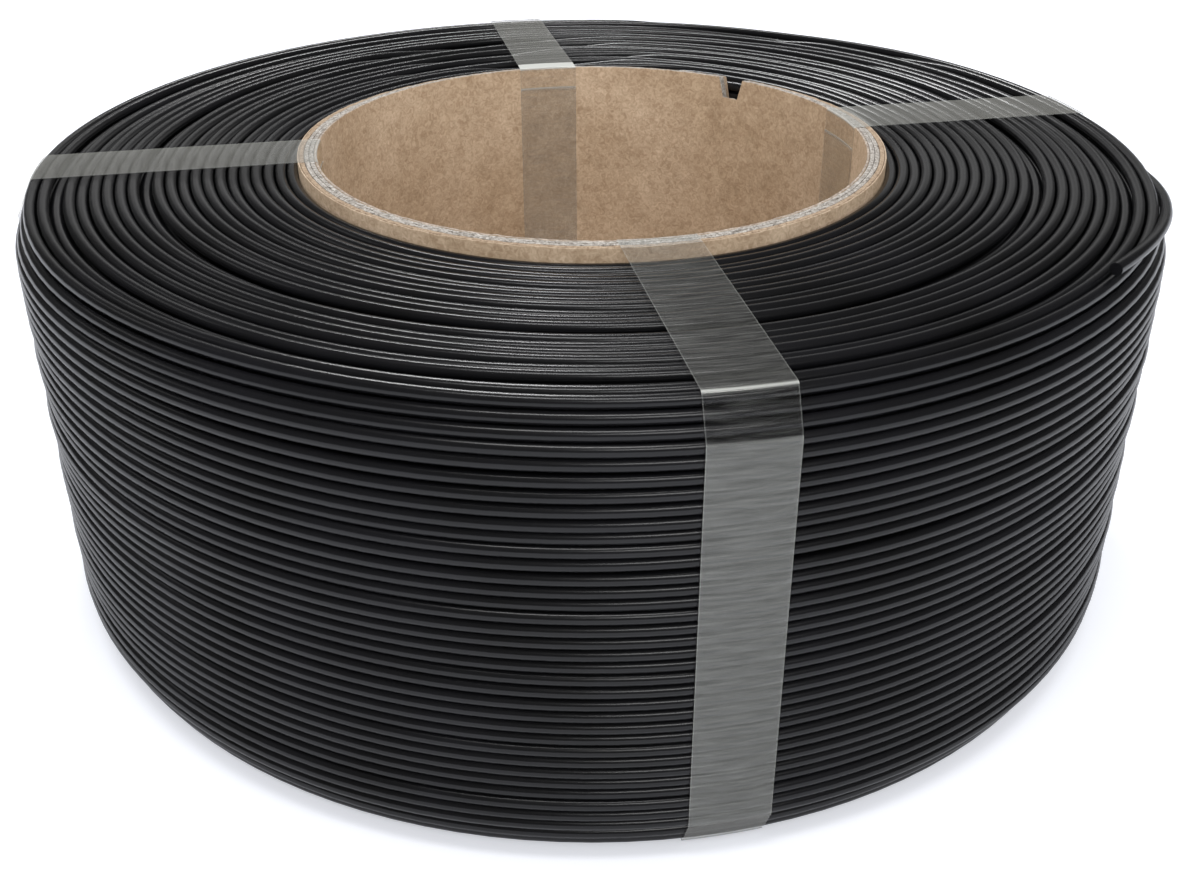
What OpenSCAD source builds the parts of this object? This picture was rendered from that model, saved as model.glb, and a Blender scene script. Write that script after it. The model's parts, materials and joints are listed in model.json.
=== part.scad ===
// Filament refill coil: one strand of round plastic filament, wound in layers on a
// laminated cardboard core and held by four clear film straps. It has no flanges.
// The coil lies flat: its axis is +Z, and z = 0 is the lowest face of the straps.
// Azimuths are in degrees from -Y (the front) towards +X, seen from above.

/* [Filament coil] */
// Diameter of the filament strand
strand_d = 1.75; // [1.5:0.05:2.85]
// Outside diameter of the wound coil
coil_od = 175; // [160:1:200]
// Width of the winding along the axis
winding_w = 66; // [56:1:80]
// How far the rim of each end face lies inside the outside radius
shoulder_in = 2.7; // [2.4:0.1:4]
// How far below each end face the outermost layer stops
shoulder_down = 5.3; // [4:0.1:7]
// How far the end faces sink towards the core
dish = 0.9; // [0:0.1:2]
// Radial width of the sunken part next to the core
dish_run = 15; // [8:1:25]
// How far the groove of each end face lies inside the face's rim
groove_in = 17.5; // [8:0.5:26]
// Depth of that groove
groove_depth = 1.1; // [0.8:0.1:1.6]

/* [Free end of the strand] */
// Azimuth of the cut end
tail_end_a = 51; // [40:1:70]
// How far the cut end lies inside the outside radius
tail_end_in = 3; // [2:0.1:4]

/* [Core] */
// Inside diameter of the core, the bore that goes on a holder
core_bore_d = 86; // [76:1:100]
// How far the core stands out of each end face of the winding's outer part
core_stand = 0.75; // [0.5:0.05:2]
// Thickness of the kraft liner inside the core
liner_t = 0.45; // [0.45:0.05:0.6]
// Thickness of each of the three grey board plies
board_t = 0.75; // [0.5:0.05:1]
// Thickness of the kraft cover outside the core
cover_t = 0.3; // [0.3:0.05:0.6]

/* [Start notch] */
// Azimuth of the notch that takes the start of the strand
notch_a = 144.5; // [120:0.5:170]
// Width of the notch at the rim
notch_w = 5; // [4:0.1:8]
// Width of the notch at its floor
notch_floor_w = 3.1; // [2.5:0.1:4]
// Depth of the notch below the rim
notch_depth = 3.5; // [3:0.1:6]

/* [Straps] */
// Width of a strap
strap_w = 11.5; // [8:0.5:16]
// Thickness of the strap film
film_t = 0.08; // [0.05:0.01:0.1]
// Depth below the rim at which the film's ends start to overlap
lap_drop = 3.5; // [2:0.5:8]
// Length of the overlap, inside the bore
lap_l = 40; // [20:1:45]
// Azimuth of the front strap
front_a = 11.5; // [0:0.5:30]
// Azimuth of the right strap
right_a = 105; // [95:0.5:110]
// Azimuth of the back strap
back_a = 191; // [180:0.5:200]
// Azimuth of the left strap
left_a = 278; // [265:0.5:285]

/* [Hidden] */
$fn = 180;

// Clearances: a strap to what it wraps, and a layer of strand to what it lies on
film_gap = 0.02;
seat_gap = 0.05;

// Radii
strand_r = strand_d / 2;
coil_r = coil_od / 2;
bore_r = core_bore_d / 2;
board_r = bore_r + liner_t;
cover_r = board_r + 3 * board_t;
core_r = cover_r + cover_t;
fold_r = coil_r - shoulder_in;

// Heights
core_z0 = film_gap + film_t;
wound_z0 = core_z0 + core_stand;
wound_z1 = wound_z0 + winding_w;
core_z1 = wound_z1 + core_stand;
step_z0 = wound_z0 + shoulder_down;
step_z1 = wound_z1 - shoulder_down;

// Outermost layer: one left-handed helix of separate loops on straight chords
loop_sides = 24;
tube_sides = 6;
most_loops = 24;
least_pitch = strand_d + 0.45;
layer_run = step_z1 - step_z0 - strand_d;
loops = min(most_loops, floor(layer_run / least_pitch));
pitch = layer_run / loops;
layer_r = coil_r - strand_r;
flat_r = strand_r * cos(180 / tube_sides);

// Layers below it, one solid with so many sides, and rims rounded in steps of an angle
bulk_sides = 72;
rim_step = 45;
first_layer_r = (core_r + seat_gap) / cos(180 / bulk_sides);
bulk_r = layer_r * cos(180 / loop_sides) - flat_r - seat_gap;

// Groove in each end face, where a ring of strand has sunk between its neighbours
groove_r = fold_r - groove_in;

// Free end: it leaves the layer under the right strap and lies over the top edge
tail_rings = 9;
tail_end_r = coil_r - tail_end_in;
tail_rise = wound_z1 + seat_gap + strand_r - (step_z1 - strand_r);

// ---- Helpers ----

// Turns a solid drawn along +X to an azimuth
module at_azimuth(a) {
    rotate([0, 0, a - 90]) children();
}

// A point at azimuth a, radius r and height z
function place(a, r, z) = [r * sin(a), -r * cos(a), z];

// Smooth step from 0 to 1
function ease(t) = t * t * (3 - 2 * t);

// Outward normal of the edge from p to q of an outline that runs anticlockwise
function normal(p, q) = [q[1] - p[1], p[0] - q[0]] / norm(q - p);

// Corner p between edges with normals n and m, moved out by d
function mitre(p, n, m, d) = p + d * (n + m) / (1 + n * m);

// A convex outline grown by d on every side, with sharp corners
function grow(outline, d) = [
    for (i = [0 : len(outline) - 1])
        let (
            before = outline[(i + len(outline) - 1) % len(outline)],
            here = outline[i],
            after = outline[(i + 1) % len(outline)]
        )
        mitre(here, normal(before, here), normal(here, after), d)
];

// ---- Core: five glued plies with one notch through them ----

module start_notch() {
    at_azimuth(notch_a)
        translate([0, 0, core_z1])
            rotate([90, 0, 90])
                linear_extrude(2 * core_r)
                    polygon([
                        [-notch_floor_w / 2, -notch_depth],
                        [notch_floor_w / 2, -notch_depth],
                        [notch_w / 2, 0],
                        [notch_w / 2, notch_depth],
                        [-notch_w / 2, notch_depth],
                        [-notch_w / 2, 0]
                    ]);
}

module ply(inner_r, thickness) {
    difference() {
        translate([0, 0, core_z0])
            cylinder(h = core_z1 - core_z0, r = inner_r + thickness);
        cylinder(h = core_z1 + core_stand, r = inner_r);
        start_notch();
    }
}

module core_liner() {
    color("#a8886a") ply(bore_r, liner_t);
}

module core_board(i) {
    color("#c9c3ba") ply(board_r + i * board_t, board_t);
}

module core_cover() {
    color("#b3926e") ply(cover_r, cover_t);
}

// ---- Winding ----

// A rim of the section: a quarter turn of radius strand_d that starts at an angle
function rim(z, start) = [
    for (a = [start : rim_step : start + 90])
        [bulk_r - strand_d + strand_d * cos(a), z + strand_d * sin(a)]
];

// Section of the groove in one end face: side is 1 at the top and -1 at the bottom
module groove_section(z, side) {
    translate([groove_r, z])
        polygon([
            [0, -side * groove_depth],
            [2 * strand_d, side * groove_depth],
            [-2 * strand_d, side * groove_depth]
        ]);
}

// Half section of the layers below the outermost one, before its groove is cut
module inner_layers_section() {
    dish_r = first_layer_r + dish_run;
    polygon(concat(
        [[first_layer_r, wound_z0 + dish], [dish_r, wound_z0]],
        rim(wound_z0 + strand_d, -90),
        rim(wound_z1 - strand_d, 0),
        [[dish_r, wound_z1], [first_layer_r, wound_z1 - dish]]
    ));
}

module winding_inner_layers() {
    color("#2b2b2d")
        rotate_extrude($fn = bulk_sides)
            difference() {
                inner_layers_section();
                groove_section(wound_z0, -1);
                groove_section(wound_z1, 1);
            }
}

// Centre line of the outermost layer as [azimuth, radius, height]: the azimuth falls
// as the helix climbs, and the last loop ends under the right strap
function layer_path() = [
    for (i = [0 : loops * loop_sides])
        let (turn = i / loop_sides)
        [right_a + 360 * (loops - turn), layer_r, step_z0 + strand_r + turn * pitch]
];

// Centre line of the free end, from the last loop to the cut
function tail_path() = [
    for (i = [1 : tail_rings])
        let (t = i / tail_rings)
        [
            right_a + t * (tail_end_a - right_a),
            layer_r + pow(t, 3) * (tail_end_r - layer_r),
            step_z1 - strand_r + ease(t) * tail_rise
        ]
];

// Six points round a centre line point, with one at the top and one at the bottom
function ring(c) = [
    for (k = [0 : tube_sides - 1])
        let (phi = 90 + 360 * k / tube_sides)
        place(c[0], c[1] + strand_r * cos(phi), c[2] + strand_r * sin(phi))
];

// Smallest distance between the points of rings one loop apart, give or take a ring
function least_gap(rings) = min([
    for (i = [0 : len(rings) - loop_sides - 2])
        for (j = [i + loop_sides - 1 : i + loop_sides + 1])
            for (p = rings[i])
                for (q = rings[j])
                    norm(p - q)
]);

module tube(rings) {
    last = len(rings) - 1;
    n = tube_sides;
    walls = [
        for (i = [0 : last - 1])
            for (k = [0 : n - 1])
                let (a = i * n + k, b = i * n + (k + 1) % n)
                for (face = [[a, b, a + n], [b, b + n, a + n]])
                    face
    ];
    first_cap = [for (k = [1 : n - 2]) [0, k + 1, k]];
    last_cap = [for (k = [1 : n - 2]) [last * n, last * n + k, last * n + k + 1]];
    polyhedron(
        points = [for (r = rings) for (p = r) p],
        faces = concat(walls, first_cap, last_cap)
    );
}

module winding_outer_layer() {
    rings = [for (c = concat(layer_path(), tail_path())) ring(c)];
    echo(loops = loops, pitch = pitch, least_gap = least_gap(rings));
    color("#333336") tube(rings);
}

// ---- Straps: each one a closed loop of film through the bore and round the winding ----

// Outline of what a strap wraps, in the half section, anticlockwise
wrapped = [
    [bore_r, core_z0],
    [core_r, core_z0],
    [fold_r, wound_z0],
    [coil_r, step_z0],
    [coil_r, step_z1],
    [fold_r, wound_z1],
    [core_r, core_z1],
    [bore_r, core_z1]
];

module film_section() {
    difference() {
        polygon(grow(wrapped, film_gap + film_t));
        polygon(grow(wrapped, film_gap));
    }
    translate([bore_r - film_gap - 2 * film_t, core_z1 - lap_drop - lap_l])
        square([film_t, lap_l]);
}

module strap(a) {
    color("#c8ccd0", 0.6)
        at_azimuth(a)
            intersection() {
                rotate_extrude() film_section();
                translate([0, -strap_w / 2, 0])
                    cube([2 * coil_r, strap_w, core_z1 + core_stand]);
            }
}

// ---- The assembly ----

core_liner();
core_board(0);  // core_board_inner
core_board(1);  // core_board_middle
core_board(2);  // core_board_outer
core_cover();
winding_inner_layers();
winding_outer_layer();
strap(front_a);  // strap_front
strap(right_a);  // strap_right
strap(back_a);  // strap_back
strap(left_a);  // strap_left
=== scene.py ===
# %% [markdown]
# # A refill coil of black filament
#
# A refill is what is left when a spool loses its flanges: one strand of 1.75 mm plastic,
# wound in layers on a cardboard core, and four clear film straps that keep the end turns
# from sliding off. The measured model gives the sizes. This notebook gives the looks,
# and it builds every visible turn of the strand as a swept tube, because the eye reads a
# coil by its turns: a bright line on each and a black groove between them.

# %% Start from the measured model
import json
import math

import bpy
import numpy as np
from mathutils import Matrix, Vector


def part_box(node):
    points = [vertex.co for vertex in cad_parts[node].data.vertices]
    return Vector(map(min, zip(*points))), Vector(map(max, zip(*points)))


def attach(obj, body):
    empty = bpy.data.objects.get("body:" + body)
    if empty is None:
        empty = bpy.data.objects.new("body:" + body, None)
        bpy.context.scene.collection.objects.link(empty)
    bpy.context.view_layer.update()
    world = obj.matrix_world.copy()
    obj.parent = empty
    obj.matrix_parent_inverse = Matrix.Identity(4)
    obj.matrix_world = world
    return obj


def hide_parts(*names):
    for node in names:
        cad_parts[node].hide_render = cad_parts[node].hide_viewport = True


MM = 0.001
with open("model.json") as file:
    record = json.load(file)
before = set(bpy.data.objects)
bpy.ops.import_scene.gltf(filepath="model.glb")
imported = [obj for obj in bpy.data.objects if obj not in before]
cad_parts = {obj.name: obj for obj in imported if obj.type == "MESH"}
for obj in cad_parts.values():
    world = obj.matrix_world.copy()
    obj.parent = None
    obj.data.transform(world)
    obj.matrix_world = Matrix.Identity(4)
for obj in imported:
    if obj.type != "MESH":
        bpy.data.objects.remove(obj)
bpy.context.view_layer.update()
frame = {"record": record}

# %% [markdown]
# ## The camera
#
# It stands in front of the coil and looks down on it from close by, so the near wall
# looms and the far rim shrinks. A close camera with a fairly wide lens gives that, and a
# long lens from far away would flatten it. The aim is set as two angles, because the
# coil's middle isn't exactly in the middle of the frame.

# %% Camera
camera_back = 213.4
camera_up = 135.5
camera_down_angle = 29.80
camera_right_angle = 0.30
camera_roll = -0.11

camera = bpy.data.objects.new("camera", bpy.data.cameras.new("camera"))
camera.data.sensor_width = 36.0
camera.data.lens = 41.42
camera.data.clip_start = 0.01
camera.location = (0, -camera_back * MM, camera_up * MM)
camera.rotation_euler = (
    math.radians(90 - camera_down_angle),
    math.radians(camera_roll),
    math.radians(-camera_right_angle),
)
bpy.context.scene.collection.objects.link(camera)
bpy.context.scene.camera = camera
print("camera stands", round(math.hypot(camera_back, camera_up)), "mm from the coil's foot")

# %% [markdown]
# ## The sizes, read from the measured model
#
# The box of each measured piece tells where the core and the winding are.
# The coil's radius and its shoulder are those that the straps bend over. Heights and
# radii are in millimetres and turned to metres only when a mesh is made. A hair is the
# gap that is left where two pieces touch.

# %% Sizes
def corner(node, which, axis):
    """One coordinate of a measured piece's box, in mm"""
    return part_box(node)[which]["xyz".index(axis)] / MM


strand_d = 1.75
strand_r = strand_d / 2
record_bore = next(m for m in frame["record"]["mounts"] if m["name"] == "core_bore")
bore_r = record_bore["dims"]["r_mm"]
core_r = corner("core_cover", 1, "x")
core_z0 = corner("core_liner", 0, "z")
core_z1 = corner("core_liner", 1, "z")
wound_z0 = corner("winding_inner_layers", 0, "z")
wound_z1 = corner("winding_inner_layers", 1, "z")
step_z0 = corner("winding_outer_layer", 0, "z")
step_z1 = wound_z1 - (step_z0 - wound_z0)
coil_r = 87.5
shoulder_in = 2.7
shoulder_down = 4.75
fold_r = coil_r - shoulder_in
hair = 0.03
print("core", bore_r, "to", round(core_r, 2), "| winding z", round(wound_z0, 2), "to",
      round(wound_z1, 2), "| outermost layer z", round(step_z0, 2), "to", round(step_z1, 2))

# %% [markdown]
# ## How the strand lies
#
# A winding machine lays turn beside turn along the core, and at each end it lifts the
# strand one layer out and comes back. Here 23 layers fill the wall, 1.78 mm apart. The
# turns of a layer touch, so their pitch is the strand's thickness and a hair more.
# A real coil is never perfect: some turns sink between their neighbours, some ride
# proud, and a few grooves gape. Smooth random waves round the coil give that. They are
# sums of sine waves, so they close on themselves, and they come from a fixed seed.

# %% Layers of the strand
layers = 23
first_r = core_r + strand_r + hair
rim_in = 0.49
rim_r = fold_r - rim_in
last_r = coil_r - strand_r
layer_step = (rim_r - first_r) / (layers - 2)
pitch = 1.78
tight = strand_d + 0.002
seed = 175
rng = np.random.default_rng(seed)
around = np.linspace(0, 2 * np.pi, 181)
print("layers", layers, "at", round(layer_step, 3), "mm")


def waves(rows, lowest, highest):
    """Smooth random rows round the coil, each about 1 high"""
    total = np.zeros((rows, len(around)))
    for n in range(lowest, highest + 1):
        size = rng.normal(0, 1, (rows, 1)) / math.sqrt(highest - lowest + 1)
        total += size * np.sin(n * around + rng.uniform(0, 2 * np.pi, (rows, 1)))
    return total


def at(row, azimuth):
    """A row's value at any azimuths, in degrees"""
    return np.interp(np.mod(azimuth, 360), np.degrees(around), row)


def ease(t):
    """A smooth step from 0 to 1"""
    t = np.clip(t, 0, 1)
    return t * t * (3 - 2 * t)


# %% [markdown]
# ## From a path to a tube
#
# A curve object with a bevel could draw the strand, but its thousands of turns are
# better swept directly: a small circle of points is set at each step of the path and
# joined to the next. The strand runs almost level round the axis, so the circle can
# simply stand in the plane through the axis.

# %% Sweep a strand
def place(azimuth, r, z):
    """Points in metres. Azimuth 0 is the front, and it grows towards the right."""
    a = np.radians(azimuth)
    return np.stack([r * np.sin(a), -r * np.cos(a), z + 0 * a], axis=-1) * MM


print("azimuth 90 at the coil's radius:", place(90, coil_r, 0).round(4), "m")


def sweep(azimuth, r, z, sides):
    """A tube of the strand's thickness along a path, as vertices and faces"""
    phi = 2 * np.pi * np.arange(sides) / sides
    ring_r = np.asarray(r)[:, None] + strand_r * np.cos(phi)
    ring_z = np.asarray(z)[:, None] + strand_r * np.sin(phi)
    points = place(np.asarray(azimuth)[:, None] + 0 * phi, ring_r, ring_z).reshape(-1, 3)
    rings = len(ring_r)
    a = (np.arange(rings - 1)[:, None] * sides + np.arange(sides)).ravel()
    b = (np.arange(rings - 1)[:, None] * sides + (np.arange(sides) + 1) % sides).ravel()
    falls = np.mean(np.diff(azimuth)) < 0
    walls = [a, b, b + sides, a + sides] if falls else [a, a + sides, b + sides, b]
    first, last = list(range(sides)), list(range((rings - 1) * sides, rings * sides))
    ends = [first[::-1], last] if falls else [first, last[::-1]]
    return points, np.stack(walls, -1).tolist() + ends


# %% Make a piece
def make_piece(name, parts, replaces, crisp=50):
    """Joins lists of vertices and faces into one object that rides on the body. Edges
    that turn by more than crisp degrees stay sharp, and the rest is shaded smooth."""
    points, faces, start = [], [], 0
    for p, f in parts:
        points.append(p)
        faces += [[i + start for i in face] for face in f]
        start += len(p)
    mesh = bpy.data.meshes.new(name)
    mesh.from_pydata(np.concatenate(points).tolist(), [], faces)
    mesh.validate()
    mesh.shade_smooth()
    mesh.set_sharp_from_angle(angle=math.radians(crisp))
    piece = bpy.data.objects.new(name, mesh)
    bpy.context.scene.collection.objects.link(piece)
    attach(piece, "root")
    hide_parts(*replaces)
    print(name, "faces", len(mesh.polygons))
    return piece


# %% [markdown]
# ## The outermost layer and the free end
#
# This layer makes the whole side of the coil. Its turns are stacked: each one's height
# is the one below plus what two touching circles need, which is a little less where one
# turn lies deeper than the other. What room is left over is shared out unevenly, so that
# some grooves open. A few turns ride proud, each with a sunk one above it, and catch the
# light from above, which the others hide from each other. The strand winds left-handed
# as it climbs and ends its last turn at the right, under a strap. Its free end lies over
# the shoulder and stops on top, cut square. At the foot the strand comes from the bottom
# face in the same way.

# %% Stack the turns of a layer
deepest = 0.42


def stack(radii, low, high, depth, uneven):
    """Radius and height of each level of a layer round the coil. Depth is how far the
    turns sink, in mm, and uneven is how differently the room between them is shared."""
    levels = len(radii)
    sunk = depth * np.abs(rng.normal(0, 1, (levels, 1))) + 0.6 * depth * waves(levels, 1, 7)
    r = radii - np.clip(sunk, 0, deepest)
    touching = np.sqrt(tight**2 - np.diff(r, axis=0) ** 2)
    room = (high - low) - touching.sum(axis=0)
    chance = rng.normal(0, 1, (levels - 1, 1)) + 0.8 * waves(levels - 1, 1, 4)
    share = np.exp(uneven * chance)
    gaps = touching + room * share / share.sum(axis=0)
    z = low + np.concatenate([np.zeros((1, len(around))), np.cumsum(gaps, axis=0)])
    return r, z


# %% Paths of the strand
def wind(r_levels, z_levels, start, direction, per_turn, step_share=1.0):
    """A strand through stacked levels. It changes level in the last share of a turn."""
    turns = len(r_levels) - 1
    t = np.linspace(0, turns, turns * per_turn + 1)
    level = np.minimum(t.astype(int), turns - 1)
    share = np.clip((t - level - 1 + step_share) / step_share, 0, 1)
    azimuth = start + direction * 360 * t
    blend = []
    for rows in (r_levels, z_levels):
        table = np.array([at(row, azimuth) for row in rows])
        i = np.arange(len(t))
        blend.append((1 - share) * table[level, i] + share * table[level + 1, i])
    return azimuth, blend[0], blend[1]


def over_shoulder(start, end, steps=48, bulge=0.42):
    """A strand that rides over the shoulder turns, between two (azimuth, r, z). The
    bulge, in mm, lifts it clear of them."""
    t = np.linspace(0, 1, steps)
    path = [start[i] + (end[i] - start[i]) * t for i in range(3)]
    path[1] = start[1] + (end[1] - start[1]) * t**3 + bulge * np.sin(np.pi * t)
    path[2] = start[2] + (end[2] - start[2]) * ease(t)
    return path


def join(*paths):
    """Paths end to end, with the point that two of them share taken once"""
    return [np.concatenate([paths[0][i]] + [p[i][1:] for p in paths[1:]]) for i in range(3)]


# %% Levels of the outermost layer
strap_azimuths = {"front": 11.5, "right": 105.0, "back": 191.0, "left": 278.0}
outer_low, outer_high = wound_z0 + shoulder_down, wound_z1 - shoulder_down
outer_levels = 1 + int((outer_high - outer_low) / pitch)
proud_at = (9.7, 18.4, 29.3, 37.8, 39.8, 46.9)
level_z = np.linspace(outer_low, outer_high, outer_levels)
proud = [int(np.argmin(np.abs(level_z - z))) for z in proud_at]
outer_radii = np.full((outer_levels, 1), last_r - 0.2)
outer_radii[proud] = last_r
outer_radii[[i + 1 for i in proud]] = last_r - deepest
outer_radii[[0, -1]] = last_r - deepest
outer_r, outer_z = stack(outer_radii, outer_low, outer_high, depth=0.08, uneven=1.1)
print("outermost layer: turns", outer_levels - 1, "| proud ones", proud)

# %% Outermost layer
side = wind(outer_r, outer_z, strap_azimuths["right"], -1, 150)
free_end_azimuth = 51.0
free_end_in = 3.0
free_end = (
    side[0][-1] + free_end_azimuth - strap_azimuths["right"],
    coil_r - free_end_in,
    wound_z1 + strand_r + hair,
)
second_seam = 150.0
cross_turn = 0.07
foot = (second_seam + 360 * cross_turn, rim_r, wound_z0 + strand_r + 0.1)
begin, finish = [p[0] for p in side], [p[-1] for p in side]
outer = join(over_shoulder(foot, begin), side, over_shoulder(finish, free_end))
outer_layer = make_piece(
    "outer_layer", [sweep(*outer, sides=10)], ["winding_outer_layer"]
)

# %% [markdown]
# ## The end faces
#
# From above one sees only the last turn of each layer, ring beside ring, and the turns
# under it where a groove gapes. The strand arrives in one layer, moves out by one ring
# in a short stretch, and goes on in the next, so every second pair of rings is one
# strand. A ring that has gone once round has to duck under its own beginning: that is
# the small crossing to be seen here and there on the face.
#
# The rings near the core lie lower, where the machine's flange stood off, and a few
# rings have sunk all the way round, which leaves wide dark grooves.

# %% Rings of an end face
low_rings = {5: 0.25, 9: 0.3, 12: 0.85, 17: 0.35, 19: 0.75}
dish_depth = 0.8
dish_run = 15.0
rings = layers - 1
ring_r = first_r + layer_step * np.arange(rings)[:, None] + 0.04 * waves(rings, 1, 6)
print("rings", rings, "| sunk ones and their depth, mm:", low_rings)


def ring_depths():
    """How far each ring's top lies below the end face"""
    k = np.arange(rings)
    dish = dish_depth * np.clip(1 - layer_step * k / dish_run, 0, 1)
    extra = np.array([low_rings.get(i, 0) for i in k])
    extra[-1] += 0.1
    uneven = 0.12 * np.abs(rng.normal(0, 1, rings))
    mean = dish + extra + uneven
    return np.clip(mean[:, None] + 0.08 * waves(rings, 1, 8), 0.02, None)


def change_layer(k, seam, ring_z, down, turns, per_turn, until=None):
    """The strand's path where it goes from ring k to ring k + 1 at azimuth seam. It
    follows so many turns before and after it, each a pitch further down (-1) or up (1)"""
    last = turns if until is None else until
    s = np.arange(-turns * per_turn, round(last * per_turn) + 1) / per_turn
    azimuth = seam - 360 * s
    into = np.abs(s) % 1
    entering = np.cos(np.pi / 2 * (1 - into) / cross_turn)
    leaving = ease((into - (1 - cross_turn)) / cross_turn)
    step = np.where(s < 0, np.where(into > 1 - cross_turn, entering, 0), leaving)
    drop = np.floor(np.abs(s)) + step
    out = np.where(s <= 0, 0.0, np.sin(np.pi / 2 * np.clip(s / cross_turn, 0, 1)))
    r = (1 - out) * at(ring_r[k], azimuth) + out * at(ring_r[k + 1], azimuth)
    z = (1 - out) * at(ring_z[k], azimuth) + out * at(ring_z[k + 1], azimuth)
    return azimuth, r, z + down * pitch * drop


# %% Upper end face
top_z = wound_z1 - strand_r - ring_depths()
top_seams = rng.uniform(125, 215, rings)
last_pair = rings - 2
upper_face = make_piece(
    "upper_end_turns",
    [
        sweep(*change_layer(k, top_seams[k], top_z, -1, 2, 150), sides=10)
        for k in range(0, last_pair, 2)
    ],
    ["winding_inner_layers"],
)

# %% Lower end face
bottom_z = wound_z0 + strand_r + ring_depths()
bottom_seams = rng.uniform(0, 360, rings)
parts = [
    sweep(*change_layer(k, bottom_seams[k], bottom_z, 1, 2, 120), sides=8)
    for k in range(1, last_pair, 2)
]
start_azimuth = -360 * np.linspace(0, 1, 121)
level = np.ones(121)
start_ring = sweep(start_azimuth, first_r * level, bottom_z[0].max() * level, sides=8)
parts.append(start_ring)
lower_face = make_piece("lower_end_turns", parts, ["winding_inner_layers"])

# %% [markdown]
# ## The layer under the outermost one
#
# It comes from the last ring of the upper face. Its first two turns lie on the shoulder,
# where they show, and the straps bend over them. Then it goes down behind the outermost
# layer, shows again at the lower shoulder and ends as the last ring of the lower face.
# Where the outermost layer's own first and last turns need the place, the shoulder turn
# beside them sinks in behind. Everything deeper is never seen, so one plain turned body
# fills it.

# %% Second layer
second_levels = 36
hidden_r = last_r - layer_step
shoulder_turn_out = 0.8
proud_out = 1.0
end_turns_in = 2.75
azimuth = np.degrees(around)
shown_above = ease((azimuth - 268) / 26) + 1 - ease((azimuth - 66) / 24)
shown_below = ease((azimuth - 180) / 26) - ease((azimuth - 276) / 26)
second_radii = np.full((second_levels, len(around)), hidden_r)
second_radii[[0, -1]] = rim_r + shoulder_turn_out
second_radii[-2] += proud_out * shown_above
second_radii[1] += proud_out * shown_below
second_r, second_z = stack(
    second_radii, wound_z0 + end_turns_in, wound_z1 - end_turns_in, depth=0.03, uneven=0.5
)
last_ring = ring_r[[-1]]
down_r = np.concatenate([last_ring, second_r[::-1], last_ring, last_ring])
down_z = np.concatenate([top_z[[-1]], second_z[::-1], bottom_z[[-1]], bottom_z[[-1]]])
per_turn = 120
arrive = change_layer(last_pair, second_seam, top_z, -1, 2, per_turn, until=0.5)
down = wind(down_r, down_z, second_seam, -1, per_turn, cross_turn)
leave = round(per_turn * cross_turn)
second = join(arrive, [p[per_turn // 2:-leave] for p in down])
second_layer = make_piece(
    "second_layer", [sweep(*second, sides=8)], ["winding_inner_layers"]
)
print("second layer: turns", second_levels + 1)


# %% The mass inside
def lathe(profile, steps=180):
    """A ring with the given closed half section, anticlockwise, as [r, z] in mm"""
    azimuth = 360 * np.arange(steps) / steps
    r, z = np.array(profile).T
    n = len(r)
    points = place(azimuth[:, None] + 0 * r, r + 0 * azimuth[:, None], z).reshape(-1, 3)
    i, j = np.meshgrid(np.arange(steps), np.arange(n), indexing="ij")
    a, b = i * n + j, i * n + (j + 1) % n
    c, d = (i + 1) % steps * n + (j + 1) % n, (i + 1) % steps * n + j
    return points, np.stack([a, d, c, b], -1).reshape(-1, 4).tolist()


mass_in = 2.6 * pitch
mass_r0, mass_r1 = core_r + 0.05, last_r - 2 * layer_step - 0.2
mass_z0, mass_z1 = wound_z0 + mass_in, wound_z1 - mass_in
section = [[mass_r0, mass_z0], [mass_r1, mass_z0], [mass_r1, mass_z1], [mass_r0, mass_z1]]
inner_mass = make_piece("inner_mass", [lathe(section)], ["winding_inner_layers"])

# %% [markdown]
# ## The core
#
# A cardboard tube of this kind is wound from strips: a brown kraft liner, a few plies of
# grey board and a brown kraft cover, glued face to face. At the sawn rim the plies show
# as pale rings with a dark hair of glue between them, a little rough. Each ply is a
# turned ring here, with softened edges, so the seams are real grooves. The notch that
# takes the strand's first end is cut through all five: at each azimuth the rim's height
# comes from one function, and extra azimuths are added at the notch's corners. At the
# back the outer plies are worn a little lower than the liner, by a share of their
# distance from the bore.

# %% Notch and rim
notch_azimuth = 144.5
notch_half_top = 2.5
notch_half_floor = 1.55
notch_depth = 3.5
notch_fall = 0.35
worn = 0.24
edge = 0.06
seam_depth = 0.24
print("notch, mm:", 2 * notch_half_top, "wide at the rim,", notch_depth, "deep")


def notch_drop(azimuth, r):
    """How far the rim is cut down at an azimuth. The floor falls outwards a little."""
    away = np.abs(r * np.radians(azimuth - notch_azimuth))
    share = (notch_half_top - away) / (notch_half_top - notch_half_floor)
    return (notch_depth + notch_fall * (r - bore_r)) * np.clip(share, 0, 1)


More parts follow.
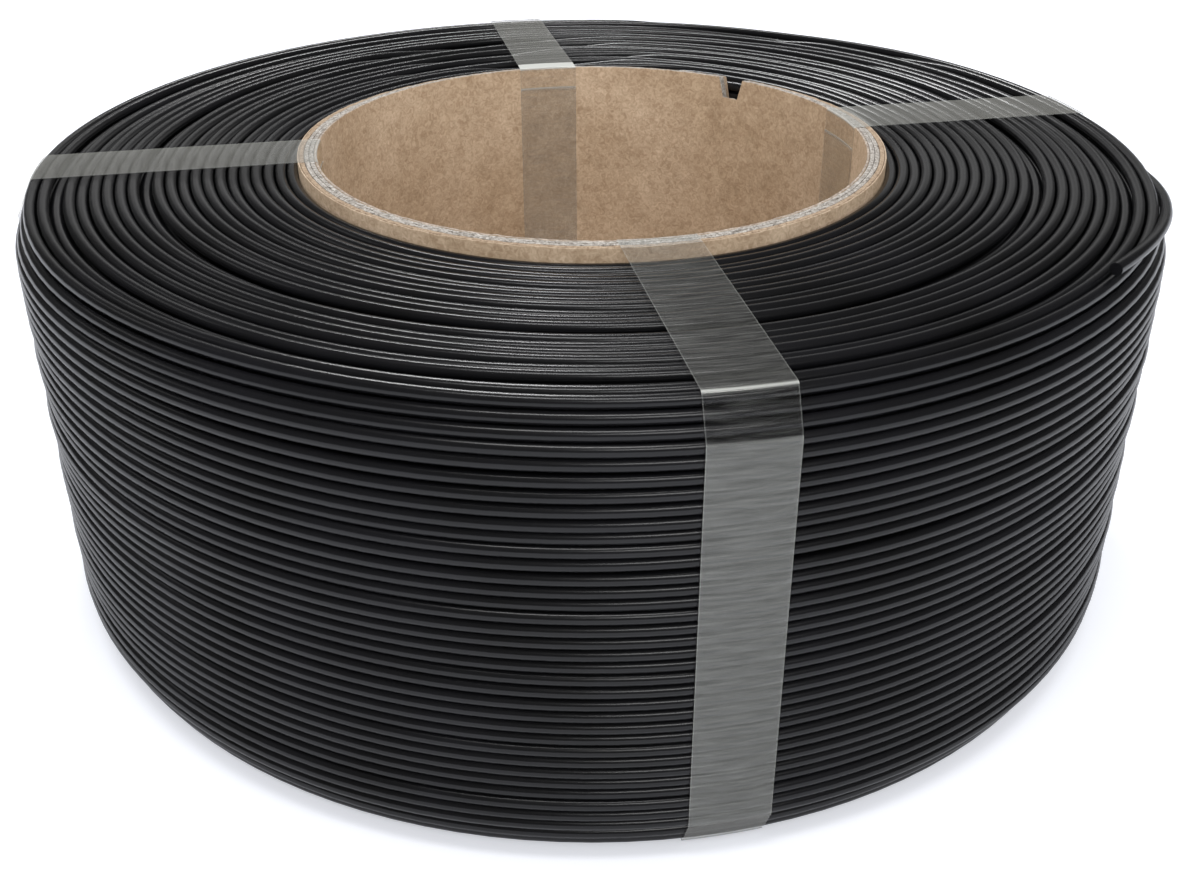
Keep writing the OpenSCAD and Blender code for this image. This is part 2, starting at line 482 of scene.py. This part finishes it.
def ply(inner, outer):
    """One paper ply with its notch, its rims a little rough"""
    mid = (inner + outer) / 2
    half_widths = notch_half_top, notch_half_floor
    corners = [notch_azimuth + s * np.degrees(h / mid) for s in (-1, 1) for h in half_widths]
    in_notch = np.linspace(min(corners), max(corners), 13)
    azimuth = np.unique(np.concatenate([np.arange(0, 360, 1.0), corners, in_notch]))
    rough = 0.03 * rng.normal(0, 1, (len(azimuth), 2))
    thickness = outer - inner
    depths = np.array([0, edge, thickness / 2, thickness - edge, thickness])
    fall = np.array([seam_depth, 0, -0.02, 0, seam_depth])
    heights = [0.25, 0.5, 0.75]
    n = 2 * len(depths) + 2 * len(heights)
    points = []
    for i, a in enumerate(azimuth):
        lean = worn * (mid - bore_r) * ease((110 - abs(a - 180)) / 80)
        top = core_z1 - notch_drop(a, mid) + rough[i, 0] - lean
        low = core_z0 + 0.02 + abs(rough[i, 1]) * 0.5
        ring = [[inner + x, low + f] for x, f in zip(depths, fall)]
        ring += [[outer, low + h * (top - low)] for h in heights]
        ring += [[outer - x, top - f] for x, f in zip(depths, fall)]
        ring += [[inner, top - h * (top - low)] for h in heights]
        points.append(place(np.full(n, a), *np.array(ring).T))
    steps = len(azimuth)
    i, j = np.meshgrid(np.arange(steps), np.arange(n), indexing="ij")
    a, b = i * n + j, i * n + (j + 1) % n
    c, d = (i + 1) % steps * n + (j + 1) % n, (i + 1) % steps * n + j
    return np.concatenate(points), np.stack([a, d, c, b], -1).reshape(-1, 4).tolist()


# %% Five plies
ply_nodes = [
    "core_liner", "core_board_inner", "core_board_middle", "core_board_outer", "core_cover"
]
plies = {}
inner = bore_r
for node in ply_nodes:
    outer = corner(node, 1, "x")
    name = node.replace("core", "tube")
    plies[node] = make_piece(name, [ply(inner, outer)], [node], crisp=25)
    inner = outer

# %% [markdown]
# ## The straps
#
# Each strap is a band of thin clear film. It goes through the bore, over the rim, flat
# across the turns, down over the shoulder and back underneath, and its ends are sealed
# over each other inside the bore. Film creases sharply where it folds, stretches
# straight from fold to fold, and takes a faint wave from the turns that it presses on.
# The band is a closed sheet with two faces and real edges, because its edges catch the
# light as fine lines. The film's material adds a painted highlight along them too.
#
# At its folds and where it lies on the rim, most of all on the strap at the back, the film
# gets a painted highlight. Where it lies on the side it gets a painted sheen, and on the
# shoulder a little painted shade. Where the overlap is sealed it is whitened. No texture
# coordinate knows where a fold is, so the mesh keeps such numbers for the material
# itself, as attributes of its points: the painted light and the seal's whitening, whether
# it is an edge, and the place along and across the band. The strap's azimuth is added to
# the last, so that no two straps have the same marks.

# %% Outline of a strap in the half section
strap_w = {"front": 10.9, "right": 11.0, "back": 10.3, "left": 11.0}
film_t = 0.08
film_gap = 0.02
fold_size = 0.28
patch_from = 3.5
patch_length = 40.0
patch_rows = 60
wrapped = [
    (bore_r, core_z0), (core_r, core_z0), (fold_r, wound_z0), (coil_r, step_z0),
    (coil_r, step_z1), (fold_r, wound_z1), (core_r, core_z1), (bore_r, core_z1),
]
print("straps, mm wide:", strap_w)


def rounded(outline, size, spacing):
    """Points along a closed outline whose corners are arcs, and the outward normals"""
    corners = np.array(outline)
    n = len(corners)
    points = []
    for i in range(n):
        before, here, after = corners[i - 1], corners[i], corners[(i + 1) % n]
        to_before = (before - here) / np.linalg.norm(before - here)
        to_after = (after - here) / np.linalg.norm(after - here)
        arm = np.linalg.norm(after - here)
        reach = min(size, 0.3 * arm, 0.3 * np.linalg.norm(before - here))
        enter, leave = here + reach * to_before, here + reach * to_after
        for u in np.linspace(0, 1, 7):
            points.append((1 - u) ** 2 * enter + 2 * u * (1 - u) * here + u**2 * leave)
        nxt = corners[(i + 2) % n]
        next_reach = min(size, 0.3 * np.linalg.norm(nxt - after), 0.3 * arm)
        stop = after - next_reach * to_after
        count = max(2, int(np.linalg.norm(stop - leave) / spacing))
        points += [leave + (stop - leave) * u for u in np.linspace(0, 1, count + 1)[1:-1]]
    points = np.array(points)
    ahead = np.roll(points, -1, axis=0) - np.roll(points, 1, axis=0)
    ahead /= np.linalg.norm(ahead, axis=1)[:, None]
    return points, np.stack([ahead[:, 1], -ahead[:, 0]], -1)


# %% A curved band
across = np.concatenate([[-0.5], np.linspace(-0.486, 0.486, 12), [0.5]])
columns = len(across)
print("points across a band:", columns)


def band(line, normals, inward, thickness, width, closed):
    """A curved band with thickness: it follows a line in the half section, and the
    coil's own curve across its width. Local x points away from the axis."""
    rows = len(line)
    sheets = []
    for offset in (inward, inward + thickness):
        r = (line[:, 0] + offset * normals[:, 0])[:, None]
        z = (line[:, 1] + offset * normals[:, 1])[:, None]
        y = width * across[None, :] + 0 * r
        x = np.sqrt(np.maximum(r * r - y * y, 0))
        sheets.append(np.stack([x, y, z + 0 * y], -1))
    points = np.concatenate([s.reshape(-1, 3) for s in sheets]) * MM
    size = rows * columns
    faces = []
    count = rows if closed else rows - 1
    for i in range(count):
        k = (i + 1) % rows
        for j in range(columns - 1):
            a, b = i * columns + j, k * columns + j
            c, d = b + 1, a + 1
            faces.append([a, b, c, d])
            faces.append([a + size, d + size, c + size, b + size])
        for j, flip in ((0, True), (columns - 1, False)):
            a, b = i * columns + j, k * columns + j
            rim = [a, b, b + size, a + size]
            faces.append(rim[::-1] if flip else rim)
    if not closed:
        for i, flip in ((0, False), (rows - 1, True)):
            for j in range(columns - 1):
                a, b = i * columns + j, i * columns + j + 1
                rim = [a, b, b + size, a + size]
                faces.append(rim[::-1] if flip else rim)
    return points, faces


# %% Where the film gets painted light, and where its seal is whitened
# Painted highlights at the two folds over the shoulder and at the bore's edge, a painted
# sheen on the side, painted shade on the shoulder, and a painted highlight on the rim,
# strongest for the back strap. The seal at the overlap is whitened.
fold_highlight_w = 0.2
fold_highlights = [(fold_r, wound_z1, 0.8), (fold_r, wound_z0, 0.8), (bore_r, core_z1, 0.7)]
side_sheen, shoulder_shade = 0.1, -0.05
rim_highlight = {"front": 0.2, "right": 0.2, "back": 0.95, "left": 0.1}
seal_w, on_seal = 0.4, 0.5
print("whitened folds:", len(fold_highlights))


def painted_film_light(line, rim_highlight_share):
    """Painted light on the film at each point of its line in the half section"""
    white = sum(
        strength * np.exp(-(np.linalg.norm(line - corner_at, axis=1) / fold_highlight_w) ** 2)
        for *corner_at, strength in fold_highlights
    )
    r, z = line.T
    white = white + side_sheen * (r > coil_r - 0.1)
    white = white + shoulder_shade * ((r > fold_r + 0.1) & (r < coil_r - 0.1))
    return white + rim_highlight_share * ((r < core_r) & (z > core_z1 - 0.02))


def mark(piece, name, values):
    """Keeps one number for each point of a mesh, which its material can read"""
    piece.data.attributes.new(name, "FLOAT", "POINT").data.foreach_set("value", values)


# %% Line of a strap, and of its overlap
line, normals = rounded(wrapped, fold_size, 0.25)
on_turns = (line[:, 0] > core_r + 6) & (line[:, 0] < coil_r + 1)
wave = np.where(line[:, 0] > coil_r - 0.1, line[:, 1] / pitch, line[:, 0] / layer_step)
ripple = 0.006 * np.cos(2 * np.pi * wave) * on_turns
line = line + ripple[:, None] * normals
along = np.concatenate([[0], np.cumsum(np.linalg.norm(np.diff(line, axis=0), axis=1))])
patch_along = np.linspace(0, patch_length, patch_rows)
patch_z = core_z1 - patch_from - patch_along
patch = np.stack([np.full(patch_rows, bore_r), patch_z], -1)
facing = np.tile([-1.0, 0.0], (patch_rows, 1))
seal = np.where(patch_z > core_z1 - patch_from - seal_w, on_seal, 0.0)
rows = 2 * (len(line) + patch_rows)
print("film once round, mm:", round(along[-1], 1), "| overlap, mm:", patch_length)

# %% Four straps
straps = {}
for name, azimuth in strap_azimuths.items():
    piece = make_piece(
        f"strap_{name}_film",
        [
            band(line, normals, film_gap, film_t, strap_w[name], True),
            band(patch, facing, film_gap + film_t + 0.005, film_t, strap_w[name], False),
        ],
        [f"strap_{name}"],
    )
    # Painted light along the strap, and the seal's whitening on the overlap, as one
    # attribute
    white = painted_film_light(line, rim_highlight[name])
    mark(piece, "crease", np.repeat(np.concatenate([white, white, seal, seal]), columns))
    mark(piece, "margin", np.tile(np.isclose(np.abs(across), 0.5), rows).astype(float))
    lengths = np.concatenate([along, along, patch_along, patch_along])
    mark(piece, "along", np.repeat(lengths, columns))
    mark(piece, "sideways", np.tile(strap_w[name] * across + azimuth, rows))
    piece.rotation_euler.z = math.radians(azimuth - 90)
    straps[name] = piece

# %% [markdown]
# ## Materials: two small helpers
#
# Colours are written as the hex values that a paint program shows, and one function
# turns them to the linear values that the renderer counts in. The other helper adds a
# node, sets its inputs and links it, so that each material reads as a recipe.

# %% Helpers for materials
def linear(hex_colour):
    """sRGB hex, such as #a68c70, to linear RGBA"""
    shown = [int(hex_colour[i:i + 2], 16) / 255 for i in (1, 3, 5)]
    counted = [c / 12.92 if c <= 0.04045 else ((c + 0.055) / 1.055) ** 2.4 for c in shown]
    return counted + [1.0]


def add(tree, kind, settings=None, **inputs):
    """Adds a node. An input is a value, or the (node, output name) that it is linked to.
    Input names are given with _ for a space, or as n0, n1 for their number."""
    node = tree.nodes.new(kind)
    for key, value in (settings or {}).items():
        setattr(node, key, value)
    for key, value in inputs.items():
        number = key[1:].isdigit() and key[0] == "n"
        socket = node.inputs[int(key[1:]) if number else key.replace("_", " ")]
        if isinstance(value, tuple) and isinstance(value[0], bpy.types.Node):
            tree.links.new(value[0].outputs[value[1]], socket)
        else:
            socket.default_value = value
    return node


def new_material(name):
    """An empty material and its node tree"""
    material = bpy.data.materials.new(name)
    material.use_nodes = True
    material.node_tree.nodes.clear()
    return material, material.node_tree


def ramp(tree, source, stops):
    """A colour ramp with stops of (position, hex colour)"""
    node = add(tree, "ShaderNodeValToRGB", Fac=source)
    elements = node.color_ramp.elements
    while len(elements) < len(stops):
        elements.new(0.5)
    for element, (position, colour) in zip(elements, stops):
        element.position = position
        element.color = linear(colour)
    return node


print("#a68c70 is linear", [round(c, 3) for c in linear("#a68c70")[:3]])

# %% [markdown]
# ## PLA filament, black, extruded
#
# The strand is polylactic acid with carbon black, drawn from a round die into a water
# bath. It comes out satin: deep black in the body, with a narrow highlight along the
# turn. The die's own marks are hundredths of a millimetre wide and can't show here, so a
# noise of about half a millimetre stands for them and varies the gloss. A slow noise of
# about 17 mm shades the black and tilts the surface a little, because no strand is quite
# round or straight.

# %% Black PLA
def pla_filament():
    material, tree = new_material("pla_filament_black")
    where = add(tree, "ShaderNodeTexCoord")
    slow = add(tree, "ShaderNodeTexNoise", Vector=(where, "Object"), Scale=60.0, Detail=3.0)
    fine = add(tree, "ShaderNodeTexNoise", Vector=(where, "Object"), Scale=1800.0,
               Detail=2.0)
    colour = ramp(tree, (slow, "Fac"), [(0.3, "#111112"), (0.7, "#17171a")])
    rough = add(tree, "ShaderNodeMapRange", Value=(fine, "Fac"), To_Min=0.22, To_Max=0.27)
    bump = add(tree, "ShaderNodeBump", Height=(slow, "Fac"), Strength=0.1, Distance=0.0001)
    surface = add(
        tree, "ShaderNodeBsdfPrincipled", Base_Color=(colour, "Color"),
        Roughness=(rough, "Result"), Normal=(bump, "Normal"), IOR=1.46,
    )
    add(tree, "ShaderNodeOutputMaterial", Surface=(surface, "BSDF"))
    return material


filament = pla_filament()
for piece in (outer_layer, second_layer, upper_face, lower_face, inner_mass):
    piece.data.materials.append(filament)
print(filament.name, "on 5 pieces")

# %% [markdown]
# ## Kraft paper
#
# Brown unbleached paper: long fibres in all directions, with paler and darker flocks of
# a few millimetres. It is matt. One noise gives the flocks of about 4 mm, one the fibres
# of about 1 mm, and a third the cloudy tone of the sheet over about 20 mm. Real fibres
# are thinner than they can show here. At the sawn rim the paper is torn up and greyer,
# and the normal tells which faces those are: the ones that look up.

# %% Kraft paper
def kraft_paper(name, sawn):
    """Kraft whose upward faces, the sawn rim, turn to torn grey by the share sawn"""
    material, tree = new_material(name)
    where = add(tree, "ShaderNodeTexCoord")
    flocks = add(tree, "ShaderNodeTexNoise", Vector=(where, "Object"), Scale=230.0,
                 Detail=6.0, Roughness=0.65)
    fibres = add(tree, "ShaderNodeTexNoise", Vector=(where, "Object"), Scale=1100.0,
                 Detail=4.0, Roughness=0.6, Distortion=1.5)
    clouds = add(tree, "ShaderNodeTexNoise", Vector=(where, "Object"), Scale=45.0,
                 Detail=2.0)
    body = ramp(tree, (flocks, "Fac"),
                [(0.30, "#ae9376"), (0.5, "#c4a98d"), (0.70, "#d6bda1")])
    threads = ramp(tree, (fibres, "Fac"), [(0.33, "#937b61"), (0.67, "#e8d5bc")])
    mixed = add(tree, "ShaderNodeMix", {"data_type": "RGBA"}, n0=0.45,
                n6=(body, "Color"), n7=(threads, "Color"))
    tone = ramp(tree, (clouds, "Fac"), [(0.35, "#ece8e2"), (0.65, "#ffffff")])
    colour = add(tree, "ShaderNodeMix", {"data_type": "RGBA", "blend_type": "MULTIPLY"},
                 n0=1.0, n6=(mixed, 2), n7=(tone, "Color"))
    facing = add(tree, "ShaderNodeSeparateXYZ", Vector=(where, "Normal"))
    upward = add(tree, "ShaderNodeMapRange", Value=(facing, "Z"), From_Min=0.4,
                 From_Max=0.9, To_Min=0.0, To_Max=sawn)
    wool = ramp(tree, (fibres, "Fac"), [(0.38, "#7b7067"), (0.62, "#b9afa5")])
    rim = add(tree, "ShaderNodeMix", {"data_type": "RGBA"}, n0=(upward, "Result"),
              n6=(colour, 2), n7=(wool, "Color"))
    bump = add(tree, "ShaderNodeBump", Height=(fibres, "Fac"), Strength=0.5,
               Distance=0.0001)
    surface = add(
        tree, "ShaderNodeBsdfPrincipled", Base_Color=(rim, 2), Roughness=0.85,
        Normal=(bump, "Normal"), IOR=1.45,
    )
    add(tree, "ShaderNodeOutputMaterial", Surface=(surface, "BSDF"))
    return material


plies["core_liner"].data.materials.append(kraft_paper("kraft_paper_liner", 0.85))
plies["core_cover"].data.materials.append(kraft_paper("kraft_paper_cover", 0.25))
print("kraft paper on 2 pieces")

# %% [markdown]
# ## Board, sawn
#
# Recycled board is pale grey inside, and the saw leaves its rim woolly. The wool is too
# fine to model, so a noise of about half a millimetre, several fibres wide, breaks up
# both colour and height. The outermost board ply is browner, because it has more kraft
# pulp in it.

# %% Grey board
def sawn_board(name, stops):
    """Board whose wool runs through the given colours, dark to pale"""
    material, tree = new_material(name)
    where = add(tree, "ShaderNodeTexCoord")
    wool = add(tree, "ShaderNodeTexNoise", Vector=(where, "Object"), Scale=2200.0,
               Detail=4.0, Roughness=0.7, Distortion=0.8)
    colour = ramp(tree, (wool, "Fac"), stops)
    bump = add(tree, "ShaderNodeBump", Height=(wool, "Fac"), Strength=0.6, Distance=0.00015)
    surface = add(
        tree, "ShaderNodeBsdfPrincipled", Base_Color=(colour, "Color"), Roughness=0.9,
        Normal=(bump, "Normal"), IOR=1.45,
    )
    add(tree, "ShaderNodeOutputMaterial", Surface=(surface, "BSDF"))
    return material


pale_board = sawn_board(
    "grey_board_sawn", [(0.34, "#5d5650"), (0.47, "#968f87"), (0.66, "#cfcac4")]
)
brown_board = sawn_board(
    "brown_board_sawn", [(0.32, "#77634f"), (0.5, "#a48e77"), (0.68, "#bda992")]
)
for node in ("core_board_inner", "core_board_middle"):
    plies[node].data.materials.append(pale_board)
plies["core_board_outer"].data.materials.append(brown_board)
print(pale_board.name, "on 2 pieces,", brown_board.name, "on 1")

# %% [markdown]
# ## Polyethylene film, clear
#
# Packing film is blown from polyethylene. It is clear but not quite: it has a grey haze
# and a gloss that turns it pale where it mirrors the studio. Where it rubs on the turns
# it has fine marks across the band, about 0.4 mm apart and 4 mm long, drawn from the
# places along and across it. The haze is stronger in the marks. It also carries a
# painted highlight along the edges and on the folds and the rim, a painted sheen on the
# side, painted shade on the shoulder, and the whitening of the seal.
#
# Alpha makes it see-through without bending light, which suits a film of under a tenth
# of a millimetre. A ray meets the sheet's near face from outside and its far face from
# inside. Only the first gets haze and gloss, so that each sheet counts once.

# %% Polyethylene film
def polyethylene_film():
    material, tree = new_material("polyethylene_film_clear")
    along = add(tree, "ShaderNodeAttribute", {"attribute_name": "along"})
    sideways = add(tree, "ShaderNodeAttribute", {"attribute_name": "sideways"})
    where = add(tree, "ShaderNodeCombineXYZ", X=(along, "Fac"), Y=(sideways, "Fac"))
    stretched = add(tree, "ShaderNodeMapping", Vector=(where, "Vector"),
                    Scale=(2.6, 0.22, 1.0))
    marks = add(tree, "ShaderNodeTexNoise", Vector=(stretched, "Vector"), Scale=1.0,
                Detail=3.0)
    margin = add(tree, "ShaderNodeAttribute", {"attribute_name": "margin"})
    # A painted highlight along the band's edges, as extra haze, on top of what the edge
    # faces catch
    edge_highlight = add(tree, "ShaderNodeMapRange", Value=(margin, "Fac"), To_Max=0.22)
    haze = add(tree, "ShaderNodeMapRange", Value=(marks, "Fac"),
               From_Min=0.3, From_Max=0.7, To_Min=0.04, To_Max=0.15)
    hazy = add(tree, "ShaderNodeMath", {"operation": "ADD"},
               n0=(haze, "Result"), n1=(edge_highlight, "Result"))
    # The painted highlights, sheen and shade of the folds, rim and side, and the seal's
    # whitening
    crease = add(tree, "ShaderNodeAttribute", {"attribute_name": "crease"})
    grey = add(tree, "ShaderNodeMath", {"operation": "ADD", "use_clamp": True},
               n0=(hazy, "Value"), n1=(crease, "Fac"))
    side = add(tree, "ShaderNodeNewGeometry")
    from_outside = add(tree, "ShaderNodeMath", {"operation": "SUBTRACT"},
                       n0=1.0, n1=(side, "Backfacing"))
    alpha = add(tree, "ShaderNodeMath", {"operation": "MULTIPLY"},
                n0=(grey, "Value"), n1=(from_outside, "Value"))
    body = add(
        tree, "ShaderNodeBsdfPrincipled", Base_Color=linear("#c9cbc6"),
        Roughness=0.35, IOR=1.5, Alpha=(alpha, "Value"),
    )
    gloss = add(tree, "ShaderNodeBsdfAnisotropic", Color=linear("#fdfcf4"),
                Roughness=0.12)
    fresnel = add(tree, "ShaderNodeFresnel", IOR=1.5)
    mirror = add(tree, "ShaderNodeMath", {"operation": "MULTIPLY"},
                 n0=(fresnel, "Fac"), n1=(from_outside, "Value"))
    surface = add(tree, "ShaderNodeMixShader", Fac=(mirror, "Value"),
                  n1=(body, "BSDF"), n2=(gloss, "BSDF"))
    add(tree, "ShaderNodeOutputMaterial", Surface=(surface, "Shader"))
    return material


film = polyethylene_film()
for piece in straps.values():
    piece.data.materials.append(film)
print(film.name, "on 4 pieces")

# %% [markdown]
# ## Floor, surroundings and lamps
#
# A product table: a white floor that keeps the coil's shadow, and white all round for
# the camera and for light that has gone through the film. Black plastic shows nothing
# but what it mirrors, so the surroundings matter more than the lamps. For mirrored light
# the backdrop is pale only behind the coil, in a band above the floor and again higher
# up, and dim everywhere else: a room that was white all round would turn every turn grey.
# For the matt paper the same room is evenly bright.

# %% Floor
floor_size = 6.0
floor_mesh = bpy.data.meshes.new("floor")
h = floor_size / 2
floor_corners = [(-h, -h, 0), (h, -h, 0), (h, h, 0), (-h, h, 0)]
floor_mesh.from_pydata(floor_corners, [], [(0, 1, 2, 3)])
floor = bpy.data.objects.new("floor", floor_mesh)
bpy.context.scene.collection.objects.link(floor)
floor.location.z = -0.2 * MM


def white_table():
    """White paint, with a glow for the camera alone that takes it up to paper white"""
    material, tree = new_material("white_table")
    light_path = add(tree, "ShaderNodeLightPath")
    paint = add(tree, "ShaderNodeBsdfDiffuse", Color=linear("#e2e4ea"))
    glow = add(tree, "ShaderNodeEmission", Color=linear("#f7f9ff"), Strength=0.4)
    both = add(tree, "ShaderNodeAddShader", n0=(paint, "BSDF"), n1=(glow, "Emission"))
    seen = add(tree, "ShaderNodeMixShader", Fac=(light_path, "Is Camera Ray"),
               n1=(paint, "BSDF"), n2=(both, "Shader"))
    add(tree, "ShaderNodeOutputMaterial", Surface=(seen, "Shader"))
    return material


floor_mesh.materials.append(white_table())
print("floor", floor_size, "m square")

# %% Surroundings
def surroundings():
    """The room that the coil mirrors, and the white one that the camera sees"""
    world = bpy.data.worlds.new("studio")
    bpy.context.scene.world = world
    world.use_nodes = True
    tree = world.node_tree
    tree.nodes.clear()
    light_path = add(tree, "ShaderNodeLightPath")
    where = add(tree, "ShaderNodeTexCoord")
    split = add(tree, "ShaderNodeSeparateXYZ", Vector=(where, "Generated"))
    behind = add(tree, "ShaderNodeMapRange", {"interpolation_type": "SMOOTHSTEP"},
                 Value=(split, "Y"), From_Min=0.68, From_Max=0.88, To_Min=0.0, To_Max=0.8)
    low = add(tree, "ShaderNodeMapRange", {"interpolation_type": "SMOOTHSTEP"},
              Value=(split, "Z"), From_Min=0.20, From_Max=0.44, To_Min=1.0, To_Max=0.0)
    above_floor = add(tree, "ShaderNodeMapRange", {"interpolation_type": "SMOOTHSTEP"},
                      Value=(split, "Z"), From_Min=0.10, From_Max=0.32)
    band = add(tree, "ShaderNodeMath", {"operation": "MULTIPLY"},
               n0=(above_floor, "Result"), n1=(low, "Result"))
    soft = add(tree, "ShaderNodeMapRange", {"interpolation_type": "SMOOTHSTEP"},
               Value=(split, "Z"), From_Min=0.47, From_Max=0.58, To_Min=0.0, To_Max=0.8)
    both = add(tree, "ShaderNodeMath", {"operation": "ADD"},
               n0=(band, "Value"), n1=(soft, "Result"))
    backdrop = add(tree, "ShaderNodeMath", {"operation": "MULTIPLY"},
                   n0=(behind, "Result"), n1=(both, "Value"))
    dim = add(tree, "ShaderNodeMapRange", Value=(light_path, "Is Diffuse Ray"),
              To_Min=0.07, To_Max=0.9)
    level = add(tree, "ShaderNodeMath", {"operation": "ADD"},
                n0=(backdrop, "Value"), n1=(dim, "Result"))
    room = add(tree, "ShaderNodeBackground", Color=linear("#ffffff"),
               Strength=(level, "Value"))
    white = add(tree, "ShaderNodeBackground", Color=linear("#ffffff"), Strength=1.0)
    through = add(tree, "ShaderNodeMath", {"operation": "MAXIMUM"},
                  n0=(light_path, "Is Camera Ray"), n1=(light_path, "Is Transmission Ray"))
    seen = add(tree, "ShaderNodeMixShader", Fac=(through, "Value"),
               n1=(room, "Background"), n2=(white, "Background"))
    add(tree, "ShaderNodeOutputWorld", Surface=(seen, "Shader"))
    return world


print("surroundings:", surroundings().name)

# %% [markdown]
# ## Lamps
#
# Soft boxes stand high up, because each turn shows a lamp as a line whose height on the
# turn follows the lamp's own. Two at the back draw the pale sheen on the near part of the
# top, one overhead lights the core and the shoulder, a dim one at the left lifts the
# turns there, and a long one high in front of the coil draws the line on each side turn.

# %% Soft boxes
def soft_box(name, place_mm, aim_mm, size_mm, watts):
    """A rectangular soft lamp that points at a spot"""
    lamp = bpy.data.lights.new(name, "AREA")
    lamp.shape = "RECTANGLE"
    lamp.size, lamp.size_y = size_mm[0] * MM, size_mm[1] * MM
    lamp.energy = watts
    holder = bpy.data.objects.new(name, lamp)
    holder.location = [v * MM for v in place_mm]
    aim = Vector(aim_mm) - Vector(place_mm)
    holder.rotation_mode = "QUATERNION"
    holder.rotation_quaternion = aim.to_track_quat("-Z", "Y")
    bpy.context.scene.collection.objects.link(holder)


soft_box("back", (-125, 600, 640), (0, 0, 67), (230, 110), 1.7)
soft_box("back_high", (-42, 540, 740), (0, 0, 67), (120, 260), 0.5)
soft_box("left_high", (-640, 150, 500), (0, 0, 67), (420, 90), 0.1)
soft_box("overhead", (-20, -230, 800), (0, 0, 67), (360, 130), 1.7)
soft_box("front_high", (250, -800, 700), (0, 0, 40), (420, 160), 1.8)

# %% [markdown]
# ## Colour
#
# The Standard view shows a colour about as it is written, which a film-like view would
# soften.

# %% Colour as written
bpy.context.scene.view_settings.view_transform = "Standard"
print("view", bpy.context.scene.view_settings.view_transform)
